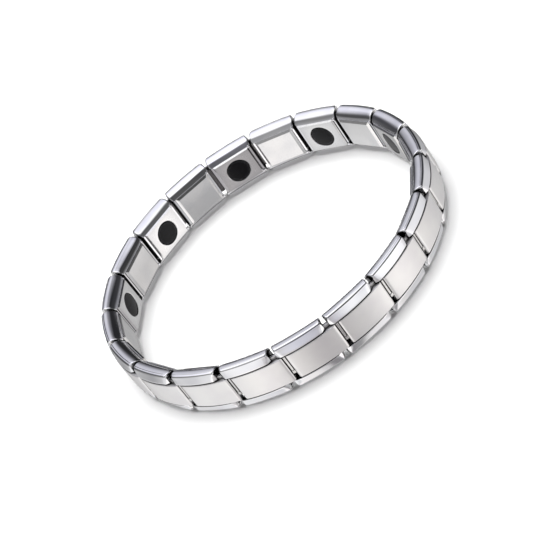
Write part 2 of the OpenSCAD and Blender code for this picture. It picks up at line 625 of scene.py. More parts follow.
def new_tree(name: str, inputs: dict[str, str]) -> tuple[NodeBoard, bpy.types.NodeOutputs]:
    """Starts a Geometry Nodes tree that takes a mesh and named sizes and gives a mesh.

    Args:
        name: name of the tree.
        inputs: kinds of its inputs by their names.

    Returns:
        The tree's board and the outputs of its group input.
    """
    tree = bpy.data.node_groups.new(name, "GeometryNodeTree")
    for label, kind in {"Geometry": "Geometry", **inputs}.items():
        tree.interface.new_socket(label, in_out="INPUT", socket_type=f"NodeSocket{kind}")
    tree.interface.new_socket("Geometry", in_out="OUTPUT", socket_type="NodeSocketGeometry")
    board = NodeBoard(tree)
    return board, board.add("NodeGroupInput").outputs


def bake_modifiers(obj: bpy.types.Object) -> bpy.types.Object:
    """Keeps what an object's modifiers make as its plain mesh.

    Args:
        obj: the object.

    Returns:
        The same object without modifiers.
    """
    view = bpy.context.evaluated_depsgraph_get()
    made = bpy.data.meshes.new_from_object(
        obj.evaluated_get(view), preserve_all_data_layers=True, depsgraph=view
    )
    obj.modifiers.clear()
    obj.data = made
    return obj


def apply_tree(obj: bpy.types.Object, tree: bpy.types.NodeTree, values: Inputs) -> bpy.types.Object:
    """Runs a Geometry Nodes tree on an object and keeps the result as a plain mesh.

    Args:
        obj: the object, whose mesh goes in.
        tree: the tree.
        values: the tree's inputs by name.

    Returns:
        The same object with its new mesh and no modifier.
    """
    modifier = obj.modifiers.new("shape", "NODES")
    modifier.node_group = tree
    for item in tree.interface.items_tree:
        if item.in_out == "INPUT" and item.name in values:
            modifier[item.identifier] = values[item.name]
    return bake_modifiers(obj)


@dataclass
class LoopRow:
    """Geometry Nodes tree that sets copies of a link's piece round the loop.

    Args:
        loop: the loop that the links share.
        slack_deg: how far a link is turned by the play in its joints.
        seed: seed of that play.
    """

    loop: Loop
    slack_deg: float = 0.35
    seed: int = 7

    def __post_init__(self) -> None:
        """Builds the tree once."""
        board, start = new_tree("loop_row", {
            "Copies": "Int", "First link": "Int", "Stride": "Int", "Step angle": "Float", "Turn": "Float",
            "Ridge radius": "Float", "Half width": "Float", "Slack": "Vector", "Material": "Material",
        })
        index = board.add("GeometryNodeInputIndex").outputs[0]
        number = board.math("MULTIPLY_ADD", index, start["Stride"], start["First link"])
        middle = board.math("SUBTRACT", number, 0.5)
        angle = board.math("MULTIPLY_ADD", middle, start["Step angle"], start["Turn"])
        across = board.math("MULTIPLY", board.math("COSINE", angle), start["Ridge radius"])
        along = board.math("MULTIPLY", board.math("SINE", angle), start["Ridge radius"])
        place = board.add("ShaderNodeCombineXYZ", {0: across, 1: along, 2: start["Half width"]})
        least = board.vector("MULTIPLY", start["Slack"], (-1, -1, -1))
        span = {0: least, 1: start["Slack"], "ID": number, "Seed": self.seed}
        play = board.add("FunctionNodeRandomValue", span, data_type="FLOAT_VECTOR")
        turn = board.add("ShaderNodeCombineXYZ", {2: angle})
        rotation = board.vector("ADD", turn.outputs[0], play.outputs[0])
        points = board.add("GeometryNodeMeshLine", {"Count": start["Copies"], "Offset": (0, 0, 0)})
        moved = board.add("GeometryNodeSetPosition", {0: points.outputs[0], "Position": place.outputs[0]})
        copies = board.add("GeometryNodeInstanceOnPoints", {
            "Points": moved.outputs[0], "Instance": start["Geometry"], "Rotation": rotation,
        })
        label = {"Geometry": copies.outputs[0], "Name": LINK_NO, "Value": number}
        named = board.add("GeometryNodeStoreNamedAttribute", label, data_type="FLOAT", domain="INSTANCE")
        real = board.add("GeometryNodeRealizeInstances", {0: named.outputs[0]})
        look = {"Geometry": real.outputs[0], "Material": start["Material"]}
        board.add("NodeGroupOutput", {0: board.add("GeometryNodeSetMaterial", look).outputs[0]})
        self.tree = board.tree

    def lay(
        self, name: str, mesh: bpy.types.Mesh, material: bpy.types.Material, first: int,
        stride: int = 1, copies: int = 1, turn: float = 0.0, play: bool = True,
    ) -> bpy.types.Object:
        """Sets copies of a mesh round the loop and makes one plain mesh of them.

        Args:
            name: name of the finished piece.
            mesh: the piece in a link's own frame.
            material: its finish.
            first: number of the first link.
            stride: links from copy to copy.
            copies: number of copies.
            turn: extra turn round the loop in radians.
            play: whether the link's play turns it.

        Returns:
            The finished object, at the origin.
        """
        return apply_tree(new_object(name, mesh), self.tree, {
            "Copies": copies,
            "First link": first,
            "Stride": stride,
            "Step angle": self.loop.step,
            "Turn": turn,
            "Ridge radius": self.loop.ridge_radius * MM,
            "Half width": self.loop.half_width * MM,
            "Slack": [math.radians(self.slack_deg) * play] * 3,
            "Material": material,
        })


@dataclass
class Part:
    """What all sub-assemblies share.

    Args:
        loop: the loop that the links share.
        row: sets their pieces round it.
        finish: the finish of the pieces.
    """

    loop: Loop
    row: LoopRow
    finish: Finish

    @staticmethod
    def hand_over(obj: bpy.types.Object, slot: Slot, nodes: Sequence[str]) -> None:
        """Makes a piece stand for its solids.

        Args:
            obj: the finished piece.
            slot: its material slot; not used.
            nodes: the solids that it replaces.
        """
        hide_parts(*nodes)
        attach(obj, "root")
        LOG.info("%s: %d faces", obj.name, len(obj.data.polygons))

    def lay_each(
        self, look: str, solid: str, slot: Slot, meshes: Sequence[bpy.types.Mesh],
        stride: int = 1, turn: float = 0.0,
    ) -> None:
        """Lays a piece of its own for each solid round the loop.

        Args:
            look: how the pieces' names begin.
            solid: how the solids' names begin.
            slot: their material slot.
            meshes: what the pieces look like, taken in turn.
            stride: links from piece to piece.
            turn: extra turn round the loop in radians.
        """
        material = self.finish.build()
        for k in range(self.loop.link_count // stride):
            mesh = meshes[k % len(meshes)]
            obj = self.row.lay(f"{look}_{k + 1:02d}", mesh, material, 1 + k * stride, turn=turn)
            self.hand_over(obj, slot, [f"{solid}_{k + 1:02d}"])


@dataclass
class LinkShells(Part):
    """The bent sheet shells with their hollow rounded sides, lips, floor and riveted ends."""

    length: float = 8.892
    sheet: float = 0.35
    floor_depth: float = 2.55
    floor_back: float = 0.26
    side_radius: float = 2.2
    side_depth: float = 2.6
    side_steps: int = 12
    crown_in: float = 0.609
    tube_wall: float = 0.3
    tube_drop: float = 0.16
    tube_reach: float = 0.86
    hollow_zone: float = 0.1
    hollow_back: float = 0.1
    bevel_drop: float = 0.1
    lip_height: float = 1.6
    lip_rise: float = 0.6
    lip_root: float = 0.3
    bow_out: float = 0.12
    bow_sag: float = 0.25
    dome_sag: float = 0.2
    edge_unbow: float = 0.6
    ridge_fillet: float = 0.4
    rim_fillet: float = 0.1
    end_round: float = 0.13
    end_zone: float = 0.3
    corner_back: float = 0.22
    ridge_fall: float = 0.10
    ridge_narrowing: float = 0.06
    lip_fold: float = 0.26
    facet_growth: float = 1.6
    upstand_height: float = 0.75
    upstand_half: float = 2.75
    upstand_corner: float = 0.1
    upstand_back: float = 0.02
    rivet_diameter: float = 0.64
    rivet_back: float = 0.5
    rivet_height: float = 0.2
    magnet_hole: float = 2.3
    finish: Metal = Metal(
        name="polished_steel_sheet",
        base=(0.86, 0.86, 0.88),
        tint=(0.80, 0.80, 0.84),
        worn=(0.93, 0.93, 0.94),
        rough=0.06,
        rough_spread=0.05,
        rough_edge=0.18,
        grain=(1.0, 0.25, 6.0),
        grain_depth=0.0012,
        scratch_depth=0.001,
        # Painted shade reaches further into the gaps between the shells.
        shade_reach=1.6,
    )

    def bend(self, y: float) -> Point:
        """Bow of the whole side and doming of the lips at a place along the link."""
        share = (2 * y / self.length) ** 2
        return self.bow_out - self.bow_sag * share, -self.dome_sag * share

    @property
    def centre(self) -> Point:
        """Middle of the rounded side's arc."""
        return -self.crown_in, self.loop.half_width - self.side_radius

    @property
    def angles(self) -> Point:
        """Angles of the arc at the ridge and at the inner edge, in degrees."""
        edge = 180 - math.degrees(math.acos((self.side_depth - self.crown_in) / self.side_radius))
        return math.degrees(math.acos(self.crown_in / self.side_radius)), edge

    @property
    def floor_half(self) -> float:
        """Half the width of the floor."""
        return self.centre[1] + self.side_radius * math.sin(math.radians(self.angles[1])) - self.bevel_drop

    @property
    def floor_inside(self) -> float:
        """Height of the floor's inner face."""
        return self.sheet - self.floor_depth

    def half_section(self) -> list[SectionPoint]:
        """Half of the section, from the floor's outer middle round the side and lip to its inner middle.

        Returns:
            The points in order.
        """
        ridge_angle, edge_angle = self.angles
        side = arc(self.centre, self.side_radius, edge_angle, ridge_angle, self.side_steps)
        edge, ridge = Vector(side[0]), Vector(side[-1])
        lip_z = side[-1][1] - self.lip_height
        lip = Vector((self.lip_rise, lip_z))
        slope = (lip - ridge).normalized()
        inner_off = Vector((slope.y, -slope.x)) * self.sheet
        lip_in = lip + inner_off
        lip_in += slope * ((lip_z - lip_in.y) / slope.y)
        wall_in = ridge + inner_off - slope * self.lip_root
        chord = (ridge - edge).normalized()
        low_wall = edge + Vector((chord.y, -chord.x)) * (self.tube_drop + self.tube_wall)
        low_wall += chord * ((self.floor_inside - low_wall.x) / chord.x)
        fold = (-self.floor_depth, self.floor_half)
        fold_round = round_corner(fold, edge, side[1], self.rim_fillet * 0.5, 3)
        crown_round = round_corner(side[-2], ridge, lip, self.ridge_fillet, 5)
        lip_round = round_corner(ridge, lip, lip_in, self.rim_fillet, 4)
        back_round = round_corner(lip, lip_in, wall_in, self.rim_fillet * 0.7, 2)
        return [
            SectionPoint(-self.floor_depth, 0.0, back=self.floor_back),
            SectionPoint(*fold, back=self.floor_back),
            *(self.side_point(p, 1.0, wear=0.5) for p in fold_round),
            *(self.side_point(side[k], 1 - k / self.side_steps) for k in range(1, self.side_steps)),
            *(self.side_point(p, 0.0, wear=0.35) for p in crown_round),
            *(self.lip_point(ridge.lerp(lip, share), share) for share in (0.2, 0.5, 0.8)),
            *(self.lip_point(p, 1.0, wear=0.8) for p in lip_round),
            *(self.lip_point(p, 1.0, wear=0.3) for p in back_round),
            self.lip_point(wall_in, 0.1),
            SectionPoint(*low_wall, back=self.floor_back),
            SectionPoint(self.floor_inside, 0.0, back=self.floor_back),
        ]

    def side_point(self, p: Point, share: float, wear: float = 0.0) -> SectionPoint:
        """A point of the rounded side, whose corners are rounded back at the ends.

        Args:
            p: its place in the section.
            share: 0 at the ridge, 1 at the inner edge.
            wear: share of edge wear.

        Returns:
            The section point.
        """
        inwards = (Vector(self.centre) - Vector(p)).normalized() * self.end_round
        back = self.corner_back * abs(2 * share - 1) ** 3
        bow = 1 - self.edge_unbow * share ** 2
        return SectionPoint(*p, bow=bow, zone=self.end_zone, fall=tuple(inwards), back=back, wear=wear)

    def lip_point(self, p: Point, share: float, wear: float = 0.0) -> SectionPoint:
        """A point of a lip, whose end is folded in to a facet.

        Args:
            p: its place in the section.
            share: 0 at the ridge, 1 at the lip's edge.
            wear: share of edge wear.

        Returns:
            The section point.
        """
        fall = (-self.ridge_fall - self.lip_fold * share, -self.ridge_narrowing * (1 - share))
        back = self.corner_back * (1 - share) ** 3
        zone = self.end_zone * (1 + share)
        facet = smooth(share * self.facet_growth)
        return SectionPoint(*p, bow=1.0, dome=share, zone=zone, fall=fall, back=back, flat=facet, wear=wear)

    def hollow(self) -> list[SectionPoint]:
        """The lens-shaped hollow of the side.

        Returns:
            Its ring, from the lower end of the arc and back along the chord.
        """
        ridge_angle, edge_angle = self.angles
        middle, steps = (ridge_angle + edge_angle) / 2, 8
        radius = self.side_radius - self.tube_wall
        chord = self.side_radius * math.cos(math.radians(edge_angle - ridge_angle) / 2)
        reach = math.degrees(math.acos((chord - self.tube_drop) / radius)) * self.tube_reach
        ring = arc(self.centre, radius, middle - reach, middle + reach, steps)
        below = [tuple(Vector(ring[-1]).lerp(Vector(ring[0]), s)) for s in (0.25, 0.5, 0.75)]
        spread = [k / steps for k in range(steps + 1)] + [0.75, 0.5, 0.25]
        points = []
        for p, share in zip(ring + below, spread):
            back = self.hollow_back * abs(2 * share - 1) ** 3
            bow = 1 - self.edge_unbow * share ** 2
            points.append(SectionPoint(*p, bow=bow, zone=self.hollow_zone, back=back))
        return points

    def add_upstands(self, maker: MeshMaker) -> None:
        """Adds the turned-up ends of the floor, which the connectors hook behind.

        Args:
            maker: the mesh to add them to.
        """
        low, high = self.floor_inside - self.sheet / 2, self.floor_inside + self.upstand_height
        wide, soft = self.upstand_half, self.upstand_corner
        half = [(low, wide), (high - soft, wide), (high, wide - soft)]
        ring = [(low, -wide), *half, *((x, -z) for x, z in reversed(half[1:]))]
        for sign in (-1, 1):
            outer = sign * (self.length / 2 - self.floor_back - self.upstand_back)
            ends = (outer, outer - sign * self.sheet)
            maker.closed_skin([[maker.vert(x, y, z) for x, z in ring] for y in ends])

    def build(self, magnetic: bool, rivets: bpy.types.NodeTree) -> bpy.types.Mesh:
        """Makes one shell in a link's own frame.

        Args:
            magnetic: whether its floor has the hole for a magnet.
            rivets: the tree that adds the riveted ends.

        Returns:
            The mesh.
        """
        lens = self.hollow()
        holes = [lens, [p.mirrored() for p in lens]]
        maker = MeshMaker("link_shell")
        Sweep(self.length / 2, whole_ring(self.half_section()), holes, self.bend).build(maker)
        self.add_upstands(maker)
        shell = maker.mesh()
        if magnetic:
            shell = self.with_magnet_hole(shell)
        return self.with_rivets(shell, rivets)

    def with_magnet_hole(self, shell: bpy.types.Mesh) -> bpy.types.Mesh:
        """Cuts the round hole through the floor.

        Args:
            shell: the shell.

        Returns:
            The shell with its hole.
        """
        maker = MeshMaker("magnet_hole")
        reach = self.sheet * 1.5
        maker.lathe([(x, self.magnet_hole, 0.0) for x in (-reach, reach)], -self.floor_depth, 40)
        cutter, bored = new_object("magnet_hole", maker.mesh()), new_object("bored_shell", shell)
        cut = bored.modifiers.new("magnet_hole", "BOOLEAN")
        cut.object = cutter
        cut.operation = "DIFFERENCE"
        cut.solver = "EXACT"
        made = bake_modifiers(bored).data
        for obj in (cutter, bored):
            bpy.data.objects.remove(obj)
        return made

    @staticmethod
    def rivet_tree() -> bpy.types.NodeTree:
        """Builds the tree that sets the riveted ends of the staple at two corners of a link.

        Returns:
            The tree.
        """
        board, start = new_tree("rivets", {
            "Rivet radius": "Float", "First rivet": "Vector", "Spacing": "Vector", "Flattening": "Vector",
        })
        size = {"Segments": 16, "Rings": 10, "Radius": start["Rivet radius"]}
        ball = board.add("GeometryNodeMeshUVSphere", size)
        soft = board.add("GeometryNodeSetShadeSmooth", {0: ball.outputs[0]})
        line = {"Count": 2, "Start Location": start["First rivet"], "Offset": start["Spacing"]}
        places = board.add("GeometryNodeMeshLine", line)
        balls = board.add("GeometryNodeInstanceOnPoints", {
            "Points": places.outputs[0], "Instance": soft.outputs[0], "Scale": start["Flattening"],
        })
        joined = board.add("GeometryNodeJoinGeometry", {0: balls.outputs[0]})
        board.feed(joined, {0: start["Geometry"]})
        real = board.add("GeometryNodeRealizeInstances", {0: joined.outputs[0]})
        board.add("NodeGroupOutput", {0: real.outputs[0]})
        return board.tree

    def with_rivets(self, shell: bpy.types.Mesh, tree: bpy.types.NodeTree) -> bpy.types.Mesh:
        """Sets the riveted ends of the staple at the two corners of one end.

        Args:
            shell: the shell.
            tree: the tree that adds them.

        Returns:
            The shell with its rivets.
        """
        first = Vector((-self.floor_depth, self.rivet_back - self.length / 2, -self.floor_half))
        obj = apply_tree(new_object("riveted_shell", shell), tree, {
            "Rivet radius": self.rivet_diameter / 2 * MM,
            "First rivet": first * MM,
            "Spacing": Vector((0, 0, 2 * self.floor_half)) * MM,
            "Flattening": (2 * self.rivet_height / self.rivet_diameter, 1.0, 1.0),
        })
        made = obj.data
        bpy.data.objects.remove(obj)
        return made

    def dress(self) -> None:
        """Lays all shells round the loop."""
        rivets = self.rivet_tree()
        meshes = [self.build(magnetic, rivets) for magnetic in (True, False)]
        self.lay_each("polished_shell", "link_shell", Slot.POLISHED, meshes)


@dataclass
class FacePlates(Part):
    """The brushed, domed plates between the lips."""

    gap: float = 0.95
    shift: float = 1.5
    over_ridge: float = 0.75
    curve: float = 24.0
    thickness: float = 1.15
    half_width: float = 2.545
    flange: float = 0.6
    flange_drop: float = 0.78
    long_fillet: float = 0.13
    end_zone: float = 0.5
    end_fall: float = 0.22
    side_back: float = 0.02
    foot_back: float = 0.2
    finish: Metal = Metal(
        name="brushed_face_steel",
        base=(0.88, 0.87, 0.865),
        tint=(0.82, 0.805, 0.815),
        worn=(0.93, 0.92, 0.92),
        rough=0.40,
        rough_spread=0.14,
        rough_edge=0.24,
        grain=(2.0, 22.0, 1.1),
        grain_depth=0.0035,
        scratch_depth=0.002,
    )

    @property
    def radius(self) -> float:
        """Radius of the plates' middle."""
        return self.loop.ridge_radius + self.over_ridge

    @property
    def length(self) -> float:
        """Length of a plate."""
        return 2 * self.radius * math.tan(self.loop.step / 2) - self.gap

    def bend(self, y: float) -> Point:
        """Height of the dome at a place along the plate."""
        return math.sqrt(self.curve ** 2 - y ** 2) - self.curve, 0.0

    def build(self) -> bpy.types.Mesh:
        """Makes one plate in a link's own frame.

        Returns:
            The mesh.
        """
        top, wide, foot = self.over_ridge, self.half_width, self.over_ridge - self.thickness
        ledge, rim = top - self.flange_drop, self.half_width + self.flange
        ends = {"bow": 1.0, "zone": self.end_zone, "fall": (-self.end_fall, 0.0)}
        rounded = round_corner((top, 0), (top, wide), (ledge, wide), self.long_fillet, 5)
        half = [
            *(SectionPoint(top, wide * share, **ends) for share in (0.0, 0.35, 0.7, 0.93)),
            *(SectionPoint(*p, back=self.side_back, wear=0.5, **ends) for p in rounded),
            *(SectionPoint(ledge, z, back=self.side_back, bow=1.0) for z in (wide, rim)),
            *(SectionPoint(foot, z, back=self.foot_back, bow=1.0) for z in (rim, 0.0)),
        ]
        maker = MeshMaker("face_plate")
        Sweep(self.length / 2, whole_ring(half), bow=self.bend, main_steps=14, end_steps=6).build(maker)
        return maker.mesh(35.0)

    def dress(self) -> None:
        """Lays all face plates round the loop."""
        turn = math.asin(self.shift / self.radius)
        self.lay_each("domed_face", "face_plate", Slot.FACE, [self.build()], turn=turn)


@dataclass
class InnerPlates(Part):
    """The satin plates on the wrist side, plain ones with a raised panel and holed ones for magnets."""

    top: float = -2.6
    thickness: float = 0.4
    flank: float = 0.08
    length: float = 7.59
    half_width: float = 3.175
    panel_bevel: float = 0.45
    panel_rise: float = 0.32
    panel_widening: float = 0.1
    panel_fillet: float = 0.12
    edge_bevel: float = 0.2
    edge_wear: float = 0.1
    hole_radius: float = 2.24
    hole_fillet: float = 0.08
    finish: Metal = Metal(
        name="satin_inner_steel",
        base=(0.70, 0.695, 0.70),
        tint=(0.64, 0.64, 0.655),
        worn=(0.92, 0.92, 0.92),
        rough=0.20,
        rough_spread=0.10,
        rough_edge=0.18,
        grain=(2.0, 1.2, 20.0),
        grain_depth=0.003,
        scratch_depth=0.0025,
    )

    def build_plain(self) -> bpy.types.Mesh:
        """Makes a plain plate, whose raised panel has a sloping border.

        Returns:
            The mesh.
        """
        low, high, wide, slope = self.top, self.top - self.thickness, self.half_width, self.panel_bevel
        side = low - self.flank
        border = {"zone": slope, "flat": 1.0}
        fall = (self.panel_rise, self.panel_widening)
        rounded = round_corner((high, 0), (high, wide - slope), (side, wide), self.panel_fillet, 2)
        half = [
            SectionPoint(high, 0.0, fall=(self.panel_rise, 0.0), **border),
            *(SectionPoint(*p, fall=fall, wear=0.3, **border) for p in rounded),
            SectionPoint(side, wide, wear=0.4),
            SectionPoint(low, wide),
            SectionPoint(low, 0.0),
        ]
        maker = MeshMaker("plain_inner_plate")
        Sweep(self.length / 2, whole_ring(half), main_steps=6, end_steps=2).build(maker)
        return maker.mesh(12.0)

    def outline(self, turn: float, inset: float) -> Point:
        """Where a ray from the middle leaves the plate's outline.

        Args:
            turn: angle of the ray from the length of the link.
            inset: how far inside the outline.

        Returns:
            The place along the loop and across the band.
        """
        along, across, least = math.cos(turn), math.sin(turn), 1e-6
        to_end = (self.length / 2 - inset) / max(abs(along), least)
        to_side = (self.half_width - inset) / max(abs(across), least)
        reach = min(to_end, to_side)
        return reach * along, reach * across

    def build_holed(self) -> bpy.types.Mesh:
        """Makes a plate with the round hole for a magnet.

        Returns:
            The mesh.
        """
        maker = MeshMaker("magnet_inner_plate")
        low, high, fillet, steps = self.top, self.top - self.thickness, self.hole_fillet, 12
        corner = math.atan2(self.half_width, self.length / 2)
        marks = [corner, math.pi - corner, math.pi + corner, math.tau - corner, math.tau + corner]
        turns = [a + (b - a) * k / steps for a, b in zip(marks, marks[1:]) for k in range(steps)]

        def ring(x: float, radius: float, wear: float) -> Ring:
            """A round ring of vertices."""
            return [maker.vert(x, radius * math.cos(t), radius * math.sin(t), wear) for t in turns]

        def border(x: float, inset: float, wear: float) -> Ring:
            """A ring of vertices along the plate's outline."""
            return [maker.vert(x, *self.outline(t, inset), wear) for t in turns]

        rings = [
            ring(low, self.hole_radius, 0.0),
            ring(high + fillet, self.hole_radius, 0.8),
            ring(high, self.hole_radius + fillet, 0.6),
            border(high, self.edge_bevel + self.edge_wear, 0.0),
            border(high, self.edge_bevel, 0.4),
            border(low - self.flank, 0.0, 0.6),
            border(low, 0.0, 0.0),
        ]
        maker.skin(rings + [rings[0]])
        return maker.mesh(14.0)

    def dress(self) -> None:
        """Lays both kinds of plates round the loop."""
        steel = self.finish.build()
        copies = self.loop.link_count // 2
        plain = self.row.lay("satin_panels", self.build_plain(), steel, 2, 2, copies)
        self.hand_over(plain, Slot.INNER, ["plain_inner_plates"])
        holed = self.row.lay("satin_magnet_plates", self.build_holed(), steel, 1, 2, copies)
        self.hand_over(holed, Slot.INNER, ["magnet_inner_plates"])


@dataclass
class Magnets(Part):
    """The round black magnets."""

    face: float = -3.06
    thickness: float = 1.3
    radius: float = 2.2
    edge: float = 0.35
    edge_depth: float = 0.175
    crown: float = 0.1
    finish: BlackCeramic = BlackCeramic()

    def build(self) -> bpy.types.Mesh:
        """Makes one magnet in a link's own frame.

        Returns:
            The mesh.
        """
        flat = self.radius - self.edge
        radii = [0.02, *(flat * share for share in (0.35, 0.7, 0.9))]
        crowned = [(self.crown * (r / flat) ** 2, r, 0.0) for r in radii]
        turns = [math.pi / 2 * k / 5 for k in range(6)]
        rim = [
            (self.crown + self.edge_depth * (1 - math.cos(t)), flat + self.edge * math.sin(t), 0.25 + 0.5 * t)
            for t in turns
        ]
        maker = MeshMaker("magnet")
        maker.lathe(crowned + rim + [(self.thickness, self.radius, 0.0)], self.face, 48)
        return maker.mesh(40.0)

    def dress(self) -> None:
        """Lays all magnets round the loop."""
        self.lay_each("black_magnet", "magnet", Slot.MAGNET, [self.build()], stride=2)


@dataclass
class Connectors(Part):
    """The hooked strips that join the links, each with a bar between two face plates."""

    strip: float = 0.3
    strip_at: float = -1.33
    strip_back: float = 0.55
    strip_reach: float = 1.9
    half_width: float = 2.75
    seat: float = 0.1
    bar_width: float = 0.38
    bar_length: float = 3.7
    bar_top: float = 2.52
    bar_out: float = 0.42
    foot_length: float = 0.55
    foot_below: float = 0.11
    foot_out: float = 0.5
    foot_back: float = 0.228
    foot_reach: float = 0.323
    shift: float = 1.5
    hook: float = 0.75
    hook_at: float = 0.72
    hook_half: float = 0.14
    soft: float = 0.06
    finish: Metal = Metal(
        name="bright_spring_steel",
        base=(0.66, 0.65, 0.64),
        tint=(0.58, 0.57, 0.56),
        worn=(0.95, 0.95, 0.95),
        rough=0.2,
        rough_spread=0.08,
        rough_edge=0.15,
        grain=(1.0, 8.0, 1.0),
        grain_depth=0.002,
        scratch_depth=0.001,
        # Painted shade reaches further into the gaps round the connectors.
        shade_reach=1.6,
    )

    def slab(self, maker: MeshMaker, x: Point, y: Point, z: Point) -> None:
        """Adds a strip with eased edges.

        Args:
            maker: the mesh to add it to.
            x: where it begins and ends outwards.
            y: where it begins and ends along the loop.
            z: where it begins and ends across the band.
        """
        s = self.soft
        low, high = (Vector(corner) for corner in zip(x, y, z))
        ring = [
            (low.y + s, low.z), (high.y - s, low.z), (high.y, low.z + s), (high.y, high.z - s),
            (high.y - s, high.z), (low.y + s, high.z), (low.y, high.z - s), (low.y, low.z + s),
        ]
        middle = ((low.y + high.y) / 2, (low.z + high.z) / 2)

        def level(height: float, inset: float) -> Ring:
            """One ring of the strip at a height."""
            eased = [[v - math.copysign(inset, v - m) for v, m in zip(p, middle)] for p in ring]
            return [maker.vert(height, *p, 0.6 if inset else 0.1) for p in eased]

        maker.closed_skin([level(low.x, s), level(low.x + s, 0), level(high.x - s, 0), level(high.x, s)])

    def build(self) -> bpy.types.Mesh:
        """Makes one connector, in the frame of a link placed on the gap.

        Returns:
            The mesh.
        """
        maker = MeshMaker("connector")
        low, seated, at = self.strip_at, self.strip_at + self.seat, self.shift
        across, half_bar = (-self.half_width, self.half_width), self.bar_width / 2
        self.slab(maker, (low, low + self.strip), (-self.strip_back, self.strip_reach), across)
        for hook in (-self.hook_at, self.hook_at):
            along = (hook - self.hook_half, hook + self.hook_half)
            self.slab(maker, (low - self.hook, seated), along, across)
        bar = Vector((self.bar_top - self.bar_length, self.bar_top))
        self.slab(maker, (seated, self.bar_out), (at - half_bar, at + half_bar), bar)
        foot = (bar[0] - self.foot_below, bar[0] + self.foot_length)
        self.slab(maker, (seated, self.foot_out), (at - self.foot_back, at + self.foot_reach), foot)
        return maker.mesh()

    def dress(self) -> None:
        """Lays the connectors on all gaps of the loop."""
        turn, steel = -self.loop.step / 2, self.finish.build()
        obj = self.row.lay(
            "bright_connectors", self.build(), steel, 1, 1, self.loop.link_count, turn, play=False
        )
        self.hand_over(obj, Slot.SPRING, ["connectors"])


class Tint(Enum):
    """Casts of the studio's light."""

    PLAIN = (1.0, 1.0, 1.0)
    LILAC = (0.94, 0.94, 1.02)
    CREAM = (1.01, 0.985, 0.965)
    MAUVE = (1.0, 0.955, 0.97)


@dataclass(frozen=True)
class Wall:
    """How bright the studio is in one direction round the object.

    Args:
        azimuth: direction in degrees, counted from +X towards +Y.
        low: cast of the light from below the horizon.
        high: cast of the light from the horizon up.
        stops: elevations in degrees and how bright it is there.
        zenith: how bright it is straight up.
        horizon: elevation at which the cast changes.
    """

    azimuth: float
    low: Tint
    high: Tint
    stops: tuple[Point, ...]
    zenith: float = 1.6
    horizon: float = -5.0

    def colours(self, full: float) -> list[tuple[float, Colour]]:
        """The wall as stops of a ramp from straight down to straight up.

        Args:
            full: the brightness that a ramp colour of 1 stands for.

        Returns:
            Places on the ramp and their colours.
        """
        made = []
        for elevation, level in (*self.stops, (90, self.zenith)):
            tint = (self.high if elevation > self.horizon else self.low).value
            made.append(((elevation + 90) / 180, tuple(level * c / full for c in tint)))
        return made


WALLS = (
    Wall(-160, Tint.PLAIN, Tint.PLAIN, (
        (-90, 0.8), (-33, 0.8), (-2, 0.9), (8, 0.8), (14, 0.4), (56, 0.35), (68, 1.3))),
    Wall(-140, Tint.CREAM, Tint.PLAIN, (
        (-90, 0.8), (-33, 1.4), (4, 1.05), (10, 0.8), (14, 0.4), (62, 0.35), (74, 1.3))),
    Wall(-120, Tint.CREAM, Tint.LILAC, (
        (-90, 0.7), (-33, 0.85), (-10, 0.7), (6, 0.9), (13, 0.25), (66, 0.2), (78, 1.3))),
    Wall(-102, Tint.MAUVE, Tint.LILAC, (
        (-90, 0.25), (-60, 0.3), (-33, 0.4), (-15, 0.5), (7, 0.75), (13, 0.15), (69, 0.13), (80, 1.3))),
    Wall(-88, Tint.MAUVE, Tint.LILAC, (
        (-90, 0.25), (-60, 0.3), (-33, 0.48), (-15, 0.55), (7, 0.75), (12, 0.08), (70, 0.06), (80, 1.3))),
    Wall(-70, Tint.PLAIN, Tint.PLAIN, (
        (-90, 0.3), (-60, 0.35), (-33, 0.58), (0, 1.0), (8, 1.2), (13, 0.11), (70, 0.08), (80, 1.3))),
    Wall(-40, Tint.CREAM, Tint.PLAIN, (
        (-90, 0.8), (-33, 1.35), (6, 1.25), (13, 0.13), (66, 0.13), (76, 1.3))),
    Wall(-5, Tint.CREAM, Tint.PLAIN, (
        (-90, 0.8), (-33, 0.8), (0, 1.0), (9, 0.3), (28, 0.05), (50, 0.05), (60, 1.2))),
    Wall(25, Tint.PLAIN, Tint.LILAC, (
        (-90, 0.7), (-33, 0.65), (-10, 0.75), (2, 0.35), (20, 0.05), (49, 0.04), (58, 1.0))),
    Wall(50, Tint.PLAIN, Tint.LILAC, (
        (-90, 0.7), (-33, 0.6), (-19, 0.45), (-5, 0.08), (5, 0.025), (40, 0.03), (48, 0.3), (58, 1.0))),
    Wall(68, Tint.PLAIN, Tint.LILAC, (
        (-90, 0.25), (-50, 0.3), (-33, 0.55), (-19, 0.1), (-5, 0.025), (27, 0.025), (35, 0.25), (45, 0.35),
        (55, 1.0))),
    Wall(90, Tint.PLAIN, Tint.LILAC, (
        (-90, 0.2), (-45, 0.15), (-33, 0.06), (-6, 0.04), (4, 0.05), (13, 0.45), (22, 0.65), (33, 0.72),
        (42, 1.1), (55, 1.3))),
    Wall(106, Tint.PLAIN, Tint.LILAC, (
        (-90, 0.25), (-50, 0.25), (-33, 0.4), (-14, 0.12), (-6, 0.04), (7, 0.05), (15, 0.4), (30, 0.55),
        (38, 0.9), (50, 1.2))),
    Wall(125, Tint.PLAIN, Tint.LILAC, (
        (-90, 0.7), (-33, 0.75), (-12, 0.12), (0, 0.05), (30, 0.09), (36, 0.25), (44, 0.8), (52, 1.2))),
    Wall(155, Tint.PLAIN, Tint.PLAIN, (
        (-90, 0.8), (-33, 0.95), (-10, 0.35), (4, 0.3), (16, 0.25), (22, 0.08), (34, 0.1), (44, 0.5),
        (52, 1.2))),
    Wall(180, Tint.PLAIN, Tint.PLAIN, (
        (-90, 0.8), (-33, 1.0), (-5, 0.7), (9, 0.4), (30, 0.25), (48, 0.25), (58, 1.2))),
)


